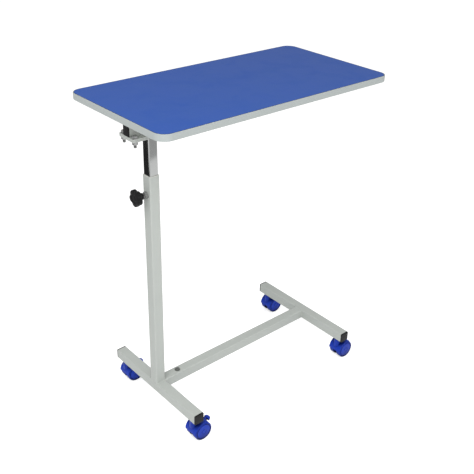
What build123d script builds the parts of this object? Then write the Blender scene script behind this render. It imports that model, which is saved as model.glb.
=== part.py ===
from build123d import *
import math
import os

# Overbed table: a cantilevered worktop on a square telescopic column, over an H-shaped
# tube base on four swivelling twin-wheel casters. Millimetres, +Z up. The origin is on
# the floor, under the middle of the worktop. +X runs from the column to the far end.

# ---------------------------------------------------------------- driving dimensions

TOP_LENGTH = 800.0          # worktop along X
TOP_WIDTH = 410.0           # worktop along Y
TOP_HEIGHT = 990.0          # worktop surface above the floor
TOP_CORNER_R = 32.0
BAND_T = 2.0                # edge band thickness, over the sides of the board
SHEET_T = 0.8               # laminate above the board, and backing sheet below it
BOARD_T = 16.4

POST_X = -291.0             # axis of the column
FOOT_SPAN = 626.0           # from the column's foot bar to the other foot bar
FOOT_LENGTH = 400.0         # foot bar tube, without its end plugs
BAR = 32.0                  # square tube of the base and of the outer post
BAR_WALL = 1.5
BAR_BOTTOM = 79.0           # underside of the base bars above the floor

POST_LENGTH = 684.0         # outer post
COLUMN = 28.0               # inner column, square
COLUMN_WALL = 1.5
COLUMN_LENGTH = 680.0
CLAMP_Z = 741.5             # clamping knob above the floor

BEAM_W, BEAM_H, BEAM_WALL = 25.0, 50.0, 1.5
BEAM_LENGTH = 718.0
STRAP = (40.0, 300.0, 3.0)  # cross strap on the beam: along X, along Y, thick
STRAP_X = (-270.0, 0.0, 270.0)
PLATE = (142.0, 66.0, 4.5)  # each of the two plates between column and beam
PLATE_BOLT = (61.0, 24.5)   # bolt places from the plate's middle

WHEEL_R = 30.0              # twin-wheel caster, 60 mm wheels
WHEEL_IN, WHEEL_OUT = 6.5, 24.75    # inner and outer faces from the caster's middle
TRAIL = 21.0                # wheel axis behind the swivel axis, towards +X
CASTER_Y = 175.0            # swivel axes from the middle of the base
STEM_R = 5.0                # caster stem through the bar

FOOT_CAP_T, FOOT_PLUG_DEPTH = 5.0, 14.0     # moulded plugs in the foot bars
BEAM_CAP_T, BEAM_PLUG_DEPTH = 3.5, 12.0     # moulded caps on the beam
GLIDE_T, GLIDE_PLUG = 12.0, 15.0            # nylon glide below the column, and in it
STUB_LENGTH = 28.0          # welded stub that the centre bar butts against
SPIGOT_LENGTH = 100.0
SPIGOT_WALL = 2.0
M8_R, M8_HOLE_R, M8_FLATS = 4.0, 4.2, 13.0
M8_HEAD_H, M8_NUT_H, WASHER_T = 5.3, 6.5, 1.6
LOW_HEAD_H = 2.8            # low head of the knock-down bolt

# ---------------------------------------------------------------- sizes that follow

BAR_TOP = BAR_BOTTOM + BAR
BAR_MID = BAR_BOTTOM + BAR / 2
FAR_X = POST_X + FOOT_SPAN
POST_TOP = BAR_TOP + POST_LENGTH
TOP_T = BOARD_T + 2 * SHEET_T
TOP_BOTTOM = TOP_HEIGHT - TOP_T
BEAM_TOP = TOP_BOTTOM - STRAP[2]
BEAM_BOTTOM = BEAM_TOP - BEAM_H
HEAD_TOP = BEAM_BOTTOM - PLATE[2]           # top of the column's own plate
COLUMN_TOP = HEAD_TOP - PLATE[2]
COLUMN_BOTTOM = COLUMN_TOP - COLUMN_LENGTH
POST_FACE = POST_X - BAR / 2                # the post's outer face, on the knob's side
SPIGOT_BOLT_X = POST_X + 74.0
SPIGOT = BAR - 2 * BAR_WALL - 0.2           # the spigot's outer size
RUN = 0.05                                  # running clearance, per side
PUSH = 0.1                                  # clearance of a plug or spigot, per side

CASTERS = {
    "post_front": (POST_X, -CASTER_Y),
    "post_back": (POST_X, CASTER_Y),
    "far_front": (FAR_X, -CASTER_Y),
    "far_back": (FAR_X, CASTER_Y),
}
BRAKED = ("post_front", "post_back")

nodes = {}


def add(name, *solids):
    """Keep one or more solids under one node name."""
    nodes[name] = solids[0] if len(solids) == 1 else Compound(children=list(solids))


def tube_section(width, height, wall, corner=3.0):
    """A rectangular tube's section with rounded corners."""
    outer = RectangleRounded(width, height, corner)
    return outer - RectangleRounded(width - 2 * wall, height - 2 * wall, corner - wall * 0.9)


def tube(length, plane, width, height, wall):
    """A straight tube, from the plane along its normal."""
    return extrude(plane * tube_section(width, height, wall), length)


def hex_prism(across_flats, height):
    """A hexagon standing on the XY plane, with its top corners turned off."""
    prism = extrude(RegularPolygon(across_flats / 2, 6, major_radius=False), height)
    turned = Cylinder(across_flats / 2 * 1.12, height, align=(Align.CENTER, Align.CENTER, Align.MIN))
    return prism & chamfer(turned.edges().sort_by(Axis.Z)[-1], height * 0.16)


def rod(radius, length):
    """A cylinder standing on the XY plane."""
    return Cylinder(radius, length, align=(Align.CENTER, Align.CENTER, Align.MIN))


# ---------------------------------------------------------------- base

def foot_bar(x):
    """A foot bar along Y, with the two caster holes in its underside."""
    start = Plane((x, -FOOT_LENGTH / 2, BAR_MID), x_dir=(1, 0, 0), z_dir=(0, 1, 0))
    bar = tube(FOOT_LENGTH, start, BAR, BAR, BAR_WALL)
    for side in (-1, 1):
        bar -= Pos(x, side * CASTER_Y, BAR_BOTTOM - 1) * rod(STEM_R + 0.3, BAR_WALL + 3)
    return bar


def foot_plug(x, side):
    """A moulded plug: a cap over the tube's end and a ribbed block inside it."""
    plane = Plane((x, side * FOOT_LENGTH / 2, BAR_MID), x_dir=(1, 0, 0), z_dir=(0, side, 0))
    cap = extrude(plane * RectangleRounded(BAR, BAR, 3.0), FOOT_CAP_T)
    face = cap.faces().sort_by(Axis.Y)[-1 if side > 0 else 0]
    cap = fillet(face.edges(), 2.4)
    inner = BAR - 2 * BAR_WALL - 2 * PUSH
    return cap + extrude(plane * RectangleRounded(inner, inner, 1.5), -FOOT_PLUG_DEPTH)


add("left_foot_bar", foot_bar(POST_X))
add("right_foot_bar", foot_bar(FAR_X))
add("foot_bar_end_plugs", *[foot_plug(x, side) for x in (POST_X, FAR_X) for side in (-1, 1)])

stub_start = Plane((POST_X + BAR / 2, 0, BAR_MID), x_dir=(0, 1, 0), z_dir=(1, 0, 0))
add("centre_bar_stub", tube(STUB_LENGTH, stub_start, BAR, BAR, BAR_WALL))

spigot = tube(SPIGOT_LENGTH, stub_start, SPIGOT, SPIGOT, SPIGOT_WALL)
spigot -= Pos(SPIGOT_BOLT_X, 0, BAR_MID) * rod(M8_HOLE_R, BAR)
add("centre_bar_spigot", spigot)

bar_start = Plane((POST_X + BAR / 2 + STUB_LENGTH, 0, BAR_MID), x_dir=(0, 1, 0), z_dir=(1, 0, 0))
centre_bar = tube(FOOT_SPAN - BAR - STUB_LENGTH, bar_start, BAR, BAR, BAR_WALL)
centre_bar -= Pos(SPIGOT_BOLT_X, 0, BAR_MID) * rod(M8_HOLE_R, BAR)
add("centre_bar", centre_bar)

# The knock-down bolt: low hex head and washer on the bar, weld nut under the spigot's roof.
spigot_roof = BAR_MID + SPIGOT / 2 - SPIGOT_WALL
head_z = BAR_TOP + WASHER_T
bolt_foot = spigot_roof - M8_NUT_H - 3.5
bolt = Pos(SPIGOT_BOLT_X, 0, bolt_foot) * rod(M8_R, head_z - bolt_foot)
bolt += Pos(SPIGOT_BOLT_X, 0, head_z) * hex_prism(M8_FLATS, LOW_HEAD_H)
add("centre_bar_bolt", bolt)
washer = rod(8.5, WASHER_T) - rod(M8_HOLE_R, 2 * WASHER_T)
add("centre_bar_washer", Pos(SPIGOT_BOLT_X, 0, BAR_TOP) * washer)
weld_nut = hex_prism(M8_FLATS, M8_NUT_H) - rod(M8_R, 2 * M8_NUT_H)
add("centre_bar_nut", Pos(SPIGOT_BOLT_X, 0, spigot_roof - M8_NUT_H) * weld_nut)

# ---------------------------------------------------------------- outer post

SCREW_R = 4.95              # clamping screw, M10 with plain sides
NUT_BORE_R = 5.0

post = tube(POST_LENGTH, Plane((POST_X, 0, BAR_TOP)), BAR, BAR, BAR_WALL)
post -= Pos(POST_FACE + 4, 0, CLAMP_Z) * Rot(0, -90, 0) * rod(NUT_BORE_R + 0.3, 8)
add("outer_post", post)

# Nylon bush in the mouth of the post: a thin sleeve with a collar on the rim.
BUSH_COLLAR_T = 1.6
BUSH_DEPTH = 45.0
mouth = Plane((POST_X, 0, POST_TOP))
collar_side = BAR - 1.0
sleeve_side = BAR - 2 * BAR_WALL - 0.06
bore_side = COLUMN + 2 * RUN
bush = extrude(mouth * RectangleRounded(collar_side, collar_side, 2.5), BUSH_COLLAR_T)
bush += extrude(mouth * RectangleRounded(sleeve_side, sleeve_side, 1.6), -BUSH_DEPTH)
bush -= extrude(mouth * RectangleRounded(bore_side, bore_side, 3.0), BUSH_DEPTH + 5, both=True)
add("post_bush", bush)

# Weld nut for the clamping screw, on the post's outer face.
NUT_T = 9.0
nut = Pos(POST_FACE, 0, CLAMP_Z) * Rot(0, -90, 0) * (hex_prism(17.0, NUT_T) - rod(NUT_BORE_R, 20))
add("clamp_weld_nut", nut)

# ---------------------------------------------------------------- column and worktop frame

column = tube(COLUMN_LENGTH, Plane((POST_X, 0, COLUMN_BOTTOM)), COLUMN, COLUMN, COLUMN_WALL)
add("inner_column", column)

# Nylon glide on the lower end of the column: it slides in the post.
foot = Plane((POST_X, 0, COLUMN_BOTTOM))
glide_side = BAR - 2 * BAR_WALL - 2 * PUSH
inner_side = COLUMN - 2 * COLUMN_WALL - 2 * PUSH
glide = extrude(foot * RectangleRounded(glide_side, glide_side, 1.5), -GLIDE_T)
glide += extrude(foot * RectangleRounded(inner_side, inner_side, 2.2), GLIDE_PLUG)
add("column_glide", glide)

# Two steel plates, bolted face to face at their corners: one is welded on the column and
# the other under the beam.
bolt_places = [(POST_X + i * PLATE_BOLT[0], j * PLATE_BOLT[1]) for i in (-1, 1) for j in (-1, 1)]


def joint_plate(bottom):
    plate = extrude(Plane((POST_X, 0, bottom)) * RectangleRounded(PLATE[0], PLATE[1], 4.0), PLATE[2])
    for x, y in bolt_places:
        plate -= Pos(x, y, bottom - 1) * rod(M8_HOLE_R, PLATE[2] + 2)
    return plate


add("column_head_plate", joint_plate(COLUMN_TOP))
add("beam_plate", joint_plate(HEAD_TOP))

# M8 corner bolts: head on the beam plate, washer and nut under the head plate.
TIP = 8.5                   # thread below the nut
washer = rod(8.0, WASHER_T) - rod(M8_HOLE_R, 2 * WASHER_T)
hex_nut = hex_prism(M8_FLATS, M8_NUT_H) - rod(M8_R, 2 * M8_NUT_H)
bolts, washers, nuts = [], [], []
for x, y in bolt_places:
    top = BEAM_BOTTOM + WASHER_T
    nut_top = COLUMN_TOP - WASHER_T
    foot_z = nut_top - M8_NUT_H - TIP
    shank = Pos(x, y, foot_z) * chamfer(rod(M8_R, top - foot_z).edges().sort_by(Axis.Z)[0], 0.8)
    bolts.append(shank + Pos(x, y, top) * hex_prism(M8_FLATS, M8_HEAD_H))
    washers += [Pos(x, y, BEAM_BOTTOM) * washer, Pos(x, y, nut_top) * washer]
    nuts.append(Pos(x, y, nut_top) * Rot(180, 0, 0) * hex_nut)
add("plate_bolts", *bolts)
add("plate_washers", *washers)
add("plate_nuts", *nuts)

beam_start = Plane((-BEAM_LENGTH / 2, 0, BEAM_BOTTOM + BEAM_H / 2), x_dir=(0, 1, 0), z_dir=(1, 0, 0))
add("top_beam", tube(BEAM_LENGTH, beam_start, BEAM_W, BEAM_H, BEAM_WALL))


def beam_cap(side):
    """A black moulded cap over one end of the beam."""
    plane = Plane(
        (side * BEAM_LENGTH / 2, 0, BEAM_BOTTOM + BEAM_H / 2), x_dir=(0, 1, 0), z_dir=(side, 0, 0)
    )
    cap = extrude(plane * RectangleRounded(BEAM_W, BEAM_H, 3.0), BEAM_CAP_T)
    face = cap.faces().sort_by(Axis.X)[-1 if side > 0 else 0]
    cap = fillet(face.edges(), 1.6)
    gap = 2 * BEAM_WALL + 2 * PUSH
    return cap + extrude(plane * RectangleRounded(BEAM_W - gap, BEAM_H - gap, 1.5), -BEAM_PLUG_DEPTH)


add("beam_end_caps", beam_cap(-1), beam_cap(1))

# Cross straps welded on the beam, with a screw hole near each end.
SCREW_Y = (-120.0, -60.0, 60.0, 120.0)
straps = []
for x in STRAP_X:
    strap = extrude(Plane((x, 0, BEAM_TOP)) * RectangleRounded(STRAP[0], STRAP[1], 5.0), STRAP[2])
    for y in SCREW_Y:
        strap -= Pos(x, y, BEAM_TOP - 1) * rod(2.6, STRAP[2] + 2)
    straps.append(strap)
add("cross_straps", *straps)

# ---------------------------------------------------------------- worktop

INNER = (TOP_LENGTH - 2 * BAND_T, TOP_WIDTH - 2 * BAND_T, TOP_CORNER_R - BAND_T)
SCREW_HOLE = (2.0, 13.0)


def top_layer(bottom, thickness):
    return extrude(Plane((0, 0, bottom)) * RectangleRounded(*INNER), thickness)


board = top_layer(TOP_BOTTOM + SHEET_T, BOARD_T)
backing = top_layer(TOP_BOTTOM, SHEET_T)
screws = []
for x in STRAP_X:
    for y in SCREW_Y:
        board -= Pos(x, y, TOP_BOTTOM) * rod(SCREW_HOLE[0], SCREW_HOLE[1])
        backing -= Pos(x, y, TOP_BOTTOM - 1) * rod(SCREW_HOLE[0], 3)
        head = Pos(x, y, BEAM_TOP - 2.6) * rod(4.6, 2.6)
        head = fillet(head.edges().sort_by(Axis.Z)[0], 1.8)
        screws.append(head + Pos(x, y, BEAM_TOP - 0.1) * rod(SCREW_HOLE[0], STRAP[2] + SCREW_HOLE[1] - 1))
add("board_core", board)
add("backing_sheet", backing)
add("top_laminate", top_layer(TOP_HEIGHT - SHEET_T, SHEET_T))
add("board_screws", *screws)

band = extrude(Plane((0, 0, TOP_BOTTOM)) * RectangleRounded(TOP_LENGTH, TOP_WIDTH, TOP_CORNER_R), TOP_T)
rims = band.edges().filter_by(Plane.XY)
band = fillet(rims, 1.4)
band -= top_layer(TOP_BOTTOM - 1, TOP_T + 2)
add("edge_band", band)

# ---------------------------------------------------------------- clamping knob

KNOB_R = 25.0
KNOB_LOBES = 5
KNOB_T = 14.0
NECK_LENGTH = 13.0
NECK_R = 10.0
LOBE_DEPTH = 5.2            # from a lobe's crest to a valley
KNOB_BACK = 14.0            # from the post's face to the knob's neck


def lobed_knob():
    """A star grip standing on the XY plane: its neck below, its lobed head above."""
    outline = []
    for i in range(8 * KNOB_LOBES):
        angle = 2 * math.pi * i / (8 * KNOB_LOBES)
        r = KNOB_R - LOBE_DEPTH * (1 + math.cos(KNOB_LOBES * angle)) / 2
        outline.append((r * math.cos(angle), r * math.sin(angle)))
    head = make_face(Spline(*outline, periodic=True))
    grip = Pos(0, 0, NECK_LENGTH) * extrude(head, KNOB_T)
    grip = fillet(grip.edges().filter_by(Plane.XY), 2.5)
    grip += rod(NECK_R, NECK_LENGTH + 1)
    dish = Pos(0, 0, NECK_LENGTH + KNOB_T - 1.2) * rod(11.0, 3)
    return grip - dish


knob_frame = Pos(POST_FACE - KNOB_BACK, 0, CLAMP_Z) * Rot(0, -90, 0)
add("clamp_knob", knob_frame * (lobed_knob() - Pos(0, 0, -1) * rod(SCREW_R + RUN, 17)))

# The screw runs through the weld nut and the post's wall, up to the column's face.
screw_tip = POST_X - COLUMN / 2 - 0.3
screw_end = POST_FACE - KNOB_BACK - 15.0
screw = Pos(screw_tip, 0, CLAMP_Z) * Rot(0, -90, 0) * rod(SCREW_R, screw_tip - screw_end)
add("clamp_screw", screw)

# ---------------------------------------------------------------- casters

AXLE_R = 3.0
SWIVEL_PIN_R = 4.0
HOUSING_R = 11.0
HOUSING_TOP = BAR_BOTTOM - 3.4
HOUSING_BOTTOM = 45.0
WEB = 6.0                   # half the web between the wheels
FENDER_R = WHEEL_R + 1.0    # inside of the fender
FENDER_T = 2.0
FENDER_FROM, FENDER_TO = 62.0, 178.0    # its arc, in degrees up from the trailing side
WHEEL_Z = WHEEL_R
PEDAL_PIN = (TRAIL + 20.5, 49.5)    # brake pivot from the swivel axis and the floor
PEDAL_PIN_R = 2.0
PEDAL_SLOT = 3.6                    # half the slot in the hood's web
TREAD_REACH = 18.6                  # from the pivot to the pedal's tip
TREAD_HALF = 10.0


def caster_at(name):
    x, y = CASTERS[name]
    return Pos(x, y, 0)


def along_y(sketch, half):
    """Extrude an XZ sketch both ways along Y."""
    return extrude(Plane.XZ * sketch, half, both=True)


def wheel(side):
    """One nylon wheel: rounded tread, hub, and a dished outer face with a raised ring."""
    inner, outer, r = WHEEL_IN, WHEEL_OUT, WHEEL_R
    with BuildPart() as made:
        with BuildSketch(Plane.YZ):
            with BuildLine():
                Polyline(
                    (inner, AXLE_R + RUN),
                    (inner, 8.0),
                    (inner + 6.0, 8.0),
                    (inner + 6.0, r - 6.0),
                    (inner, r - 5.0),
                    (inner, r - 1.5),
                    (inner + 1.5, r),
                    (outer - 5.0, r),
                )
                RadiusArc((outer - 5.0, r), (outer - 0.8, r - 4.5), -5.0)
                Polyline(
                    (outer - 0.8, r - 4.5),
                    (outer - 2.0, r - 6.0),
                    (outer - 2.0, r - 8.0),
                    (outer - 1.0, r - 9.0),
                )
                ThreePointArc((outer - 1.0, r - 9.0), (outer - 0.35, 9.0), (outer, 0.0 + AXLE_R + RUN))
                Line((outer, AXLE_R + RUN), (inner, AXLE_R + RUN))
            make_face()
        revolve(axis=Axis.Y)
    shape = made.part
    if side < 0:
        shape = mirror(shape, Plane.XZ)
    return Pos(TRAIL, 0, WHEEL_Z) * shape


def hood(braked):
    """The caster's body: web between the wheels, fender over them, housing round the stem."""
    wheel_axis = Pos(TRAIL, WHEEL_Z)
    crown_r = FENDER_R + FENDER_T
    hub = wheel_axis * Circle(9.0)
    bridge = Polygon((-10, HOUSING_BOTTOM), (TRAIL - 8, WHEEL_Z - 4), (TRAIL + 8, WHEEL_Z + 2),
                     (TRAIL + 12, WHEEL_Z + 26), (-10, WHEEL_Z + 32), align=None)
    reach = 2 * crown_r
    angles = [math.radians(a) for a in (FENDER_FROM, (FENDER_FROM + FENDER_TO) / 2, FENDER_TO)]
    rays = [(math.cos(a) * reach, math.sin(a) * reach) for a in angles]
    wedge = wheel_axis * Polygon((0, 0), *rays, align=None)
    web = along_y(hub + bridge + ((wheel_axis * Circle(crown_r)) & wedge), WEB)
    ring = wheel_axis * (Circle(crown_r) - Circle(FENDER_R))
    fender = along_y(ring & wedge, WHEEL_OUT - 0.6)
    crown = fender.edges().filter_by(GeomType.CIRCLE).filter_by(lambda e: abs(e.radius - crown_r) < 0.01)
    fender = fillet(crown, 1.6)
    housing = Pos(0, 0, HOUSING_BOTTOM) * rod(HOUSING_R, HOUSING_TOP - HOUSING_BOTTOM)
    housing = fillet(housing.edges().sort_by(Axis.Z)[-1], 1.5)
    wheel_room = Pos(TRAIL, 0, WHEEL_Z) * Rot(90, 0, 0) * Cylinder(FENDER_R - 0.01, 80)
    wheel_room -= Pos(0, 0, WHEEL_Z) * Box(200, 2 * WEB, 200)
    body = web + fender + (housing - wheel_room)
    body -= Pos(0, 0, HOUSING_TOP - 24) * rod(SWIVEL_PIN_R + RUN, 40)
    body -= Pos(TRAIL, 0, WHEEL_Z) * Rot(90, 0, 0) * Cylinder(AXLE_R, 40)
    if braked:
        px, pz = PEDAL_PIN
        lug = Pos(px, pz) * Circle(5.0)
        arm = Polygon((TRAIL + 4, WHEEL_Z + 2), (px, pz - 5), (px, pz + 5), (TRAIL + 6, WHEEL_Z + 26),
                      align=None)
        body += along_y(lug + arm, WEB)
        body -= along_y(Pos(px, pz) * Circle(9.0), PEDAL_SLOT)
        body -= Pos(px, 0, pz) * Rot(90, 0, 0) * Cylinder(PEDAL_PIN_R, 40)
    return body


def brake_pedal():
    """The pedal: a narrow root in the slot of the web and a broad tread behind the wheels."""
    px, pz = PEDAL_PIN
    root = Pos(px, pz) * Circle(4.6)
    root += Polygon((px, pz - 4.6), (px + 9, pz - 3.0), (px + 9, pz + 2.6), (px, pz + 4.6), align=None)
    tongue = along_y(root, PEDAL_SLOT - 0.3)
    side = Polygon((px + 7.5, pz - 2.4), (px + TREAD_REACH, pz - 0.2),
                   (px + TREAD_REACH, pz + 3.4), (px + 7.5, pz + 3.8), align=None)
    plan = RectangleRounded(2 * TREAD_REACH, 2 * TREAD_HALF, 7.5)
    tread = along_y(side, TREAD_HALF) & Pos(px, 0, pz - 10) * extrude(plan, 20)
    tread = fillet(tread.faces().sort_by(Axis.Z)[-1].edges(), 1.0)
    return tongue + tread - Pos(px, 0, pz) * Rot(90, 0, 0) * Cylinder(PEDAL_PIN_R + RUN, 40)


stems, stem_nuts = [], []
for name in CASTERS:
    place = caster_at(name)
    stem = Pos(0, 0, HOUSING_TOP - 23) * rod(SWIVEL_PIN_R, 24)
    stem += Pos(0, 0, HOUSING_TOP + 0.3) * rod(9.0, BAR_BOTTOM - HOUSING_TOP - 0.3)
    stem += Pos(0, 0, BAR_BOTTOM) * rod(STEM_R - 0.02, 16)
    stems.append(place * stem)
    stem_nuts.append(place * Pos(0, 0, BAR_BOTTOM + BAR_WALL) * (hex_prism(17.0, 8.0) - rod(STEM_R, 12)))
    add(f"caster_{name}_hood", place * hood(name in BRAKED))
    axle = Rot(90, 0, 0) * Cylinder(AXLE_R, 2 * WHEEL_OUT - 2.0)
    add(f"caster_{name}_axle", place * Pos(TRAIL, 0, WHEEL_Z) * axle)
    add(f"caster_{name}_wheel_front", place * wheel(-1))
    add(f"caster_{name}_wheel_back", place * wheel(1))
    if name in BRAKED:
        add(f"caster_{name}_brake_pedal", place * brake_pedal())
        pin = Rot(90, 0, 0) * Cylinder(PEDAL_PIN_R, 2 * WEB)
        add(f"caster_{name}_brake_pin", place * Pos(PEDAL_PIN[0], 0, PEDAL_PIN[1]) * pin)
add("caster_stems", *stems)
add("caster_stem_nuts", *stem_nuts)

# ---------------------------------------------------------------- write the parts

os.makedirs("parts", exist_ok=True)
for name, shape in nodes.items():
    export_step(shape, f"parts/{name}.step")
print(len(nodes), "nodes; worktop at", TOP_HEIGHT, "mm; column bottom at", COLUMN_BOTTOM, "mm")
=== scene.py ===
# %% [markdown]
# # An overbed table on four blue casters
# The real table is a laminated board on one square telescopic column. The column stands at
# one side of an H of square tube, so the board reaches over a bed while the base rolls under it.
# The sizes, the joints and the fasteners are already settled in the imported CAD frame. This lesson
# adds what a camera sees: crowned corners, weld beads, threads, moulded grips and real finishes.

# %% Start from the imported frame
import math
import bmesh
import bpy
from mathutils import Matrix, Vector


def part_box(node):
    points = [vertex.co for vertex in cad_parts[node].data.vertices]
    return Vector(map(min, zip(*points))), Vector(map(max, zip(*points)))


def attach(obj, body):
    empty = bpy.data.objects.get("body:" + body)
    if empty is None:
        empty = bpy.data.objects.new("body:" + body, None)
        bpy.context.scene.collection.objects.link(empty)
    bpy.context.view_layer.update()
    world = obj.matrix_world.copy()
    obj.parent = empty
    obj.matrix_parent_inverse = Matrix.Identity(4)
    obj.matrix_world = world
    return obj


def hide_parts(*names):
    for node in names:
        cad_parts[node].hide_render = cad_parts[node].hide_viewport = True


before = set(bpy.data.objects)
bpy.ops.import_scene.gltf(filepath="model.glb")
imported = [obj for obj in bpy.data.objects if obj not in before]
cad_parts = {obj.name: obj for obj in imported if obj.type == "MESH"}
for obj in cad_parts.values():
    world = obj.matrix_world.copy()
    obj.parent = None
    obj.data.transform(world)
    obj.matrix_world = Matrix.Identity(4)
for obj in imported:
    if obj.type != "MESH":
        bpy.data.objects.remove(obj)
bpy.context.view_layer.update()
scene = bpy.context.scene
MM = 0.001

# %% [markdown]
# ## Where each thing is
# Every size below is read from the frame, so a change in the design moves the looks with it.
# A small helper gives a node's lowest corner, highest corner, middle and size as vectors.

# %% Read a node's box
def box_of(node):
    low, high = (Vector(corner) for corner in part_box(node))
    return low, high, (low + high) / 2, high - low


post_low, _, post_mid, post_size = box_of("outer_post")
_, board_high, board_mid, board_size = box_of("edge_band")
print("worktop height", round(board_high.z, 4), "post axis x", round(post_mid.x, 4))

# %% [markdown]
# ## Camera
# The table is seen from its column side, from a little above the worktop. A view direction is
# easier to think of as two turns, an azimuth and an elevation, with a small roll of the horizon.
# The script works the camera's three axes out from these, instead of guessing Euler angles.

# %% Camera
AZIMUTH, ELEVATION, ROLL = (math.radians(a) for a in (41.70, 28.89, -1.61))
CAMERA_AT = (-1.29997, -1.47768, 1.59541)
LENS = 56.28
flat = math.cos(ELEVATION)
ahead = Vector((math.sin(AZIMUTH) * flat, math.cos(AZIMUTH) * flat, -math.sin(ELEVATION)))
level = ahead.cross(Vector((0, 0, 1))).normalized()
turned_right = Matrix.Rotation(ROLL, 3, ahead) @ level
camera_up = turned_right.cross(ahead)
camera = bpy.data.objects.new("camera", bpy.data.cameras.new("camera"))
camera.data.sensor_width = 36.0
camera.data.lens = LENS
axes = Matrix((turned_right, camera_up, -ahead)).transposed()
camera.matrix_world = Matrix.Translation(CAMERA_AT) @ axes.to_4x4()
scene.collection.objects.link(camera)
scene.camera = camera
scene.view_settings.view_transform = "Standard"
print("camera height above the worktop", round(camera.location.z - board_high.z, 3))

# %% [markdown]
# ## Node helpers
# Shader trees and geometry trees are both lists of nodes with links. One helper makes a node and
# fills its inputs: a value is written on the socket, and another node's output is linked to it.

# %% Add a node, and find sockets
def add_node(tree, kind, inputs=None, **settings):
    made = tree.nodes.new(kind)
    for key, value in settings.items():
        setattr(made, key, value)
    for key, value in (inputs or {}).items():
        if isinstance(value, bpy.types.NodeSocket):
            tree.links.new(value, made.inputs[key])
        else:
            made.inputs[key].default_value = value
    return made


def math_node(tree, operation, first, second=0.0):
    return add_node(tree, "ShaderNodeMath", {0: first, 1: second}, operation=operation).outputs[0]


# %% [markdown]
# ## Shared surface effects
# Several finishes need the same effects: a fine grain, long drawn lines, the cloudy marks that handling
# leaves, an edge tint for wear and for painted light, and painted shade in deep corners. Each effect is
# a node group, built once.
# A group gives only masks and heights, and the shader itself stays in the material.

# %% Start a shader group
def shader_group(name, inputs, outputs):
    group = bpy.data.node_groups.new(name, "ShaderNodeTree")
    for label, value in inputs.items():
        kind = "NodeSocketVector" if isinstance(value, tuple) else "NodeSocketFloat"
        socket = group.interface.new_socket(label, in_out="INPUT", socket_type=kind)
        socket.default_value = value
    for label in outputs:
        group.interface.new_socket(label, in_out="OUTPUT", socket_type="NodeSocketFloat")
    return group, group.nodes.new("NodeGroupInput"), group.nodes.new("NodeGroupOutput")


# %% Fine grain: pebbles of one size, with a softer, larger unevenness under them
grain_group, into, out = shader_group(
    "Fine grain", {"Size": 0.0006, "Softness": 0.3}, ("Height", "Clouds"))
place = add_node(grain_group, "ShaderNodeTexCoord")
per_metre = math_node(grain_group, "DIVIDE", 1.0, into.outputs["Size"])
pebbles = add_node(grain_group, "ShaderNodeTexNoise", {
    "Vector": place.outputs["Object"], "Scale": per_metre, "Detail": 1.0,
    "Roughness": into.outputs["Softness"]})
cloud_scale = math_node(grain_group, "MULTIPLY", per_metre, 0.02)
clouds = add_node(grain_group, "ShaderNodeTexNoise", {
    "Vector": place.outputs["Object"], "Scale": cloud_scale, "Detail": 3.0})
grain_group.links.new(pebbles.outputs["Fac"], out.inputs["Height"])
grain_group.links.new(clouds.outputs["Fac"], out.inputs["Clouds"])

# %% Drawn lines: noise pulled long in one direction
lines_group, into, out = shader_group(
    "Drawn lines", {"Stretch": (1.0, 1.0, 0.01), "Spacing": 0.0005}, ("Height",))
place = add_node(lines_group, "ShaderNodeTexCoord")
pulled = add_node(lines_group, "ShaderNodeVectorMath", {
    0: place.outputs["Object"], 1: into.outputs["Stretch"]}, operation="MULTIPLY")
per_metre = math_node(lines_group, "DIVIDE", 1.0, into.outputs["Spacing"])
strands = add_node(lines_group, "ShaderNodeTexNoise", {
    "Vector": pulled.outputs[0], "Scale": per_metre, "Detail": 3.0})
lines_group.links.new(strands.outputs["Fac"], out.inputs["Height"])

# %% Handling marks: cloudy patches
marks_group, into, out = shader_group("Handling marks", {"Size": 0.09, "Amount": 0.5}, ("Mask",))
place = add_node(marks_group, "ShaderNodeTexCoord")
per_metre = math_node(marks_group, "DIVIDE", 1.0, into.outputs["Size"])
patches = add_node(marks_group, "ShaderNodeTexNoise", {
    "Vector": place.outputs["Object"], "Scale": per_metre, "Detail": 4.0, "Distortion": 0.4})
ramp = add_node(marks_group, "ShaderNodeMapRange", {
    "Value": patches.outputs["Fac"], "From Min": 0.45, "From Max": 0.75,
    "To Min": 0.0, "To Max": into.outputs["Amount"]})
marks_group.links.new(ramp.outputs["Result"], out.inputs["Mask"])

# %% Edge wear and light: where a rounded copy of the surface turns away from the real one
edge_wear_and_light_group, into, out = shader_group(
    "Edge wear and light", {"Radius": 0.0015, "Amount": 1.0}, ("Mask",))
true_face = add_node(edge_wear_and_light_group, "ShaderNodeNewGeometry")
rounded = add_node(edge_wear_and_light_group, "ShaderNodeBevel", {"Radius": into.outputs["Radius"]}, samples=4)
agree = add_node(edge_wear_and_light_group, "ShaderNodeVectorMath", {
    0: true_face.outputs["Normal"], 1: rounded.outputs["Normal"]}, operation="DOT_PRODUCT")
turned = math_node(edge_wear_and_light_group, "SUBTRACT", 1.0, agree.outputs["Value"])
edge_strength = math_node(edge_wear_and_light_group, "MULTIPLY", turned, 6.0)
limited = add_node(edge_wear_and_light_group, "ShaderNodeClamp", {"Value": edge_strength})
amount = math_node(edge_wear_and_light_group, "MULTIPLY", limited.outputs[0], into.outputs["Amount"])
edge_wear_and_light_group.links.new(amount, out.inputs["Mask"])

# %% Painted corner shade: where near surfaces shut the light out, the colour is painted darker
corner_shade_group, into, out = shader_group("Painted corner shade", {"Reach": 0.03, "Amount": 1.0}, ("Mask",))
open_sky = add_node(corner_shade_group, "ShaderNodeAmbientOcclusion", {"Distance": into.outputs["Reach"]},
                    samples=8)
shut_in = math_node(corner_shade_group, "SUBTRACT", 1.0, open_sky.outputs["AO"])
stronger = math_node(corner_shade_group, "MULTIPLY", shut_in, into.outputs["Amount"])
limited = add_node(corner_shade_group, "ShaderNodeClamp", {"Value": stronger})
corner_shade_group.links.new(limited.outputs[0], out.inputs["Mask"])
print("shared effects:", [group.name for group in bpy.data.node_groups])

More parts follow.
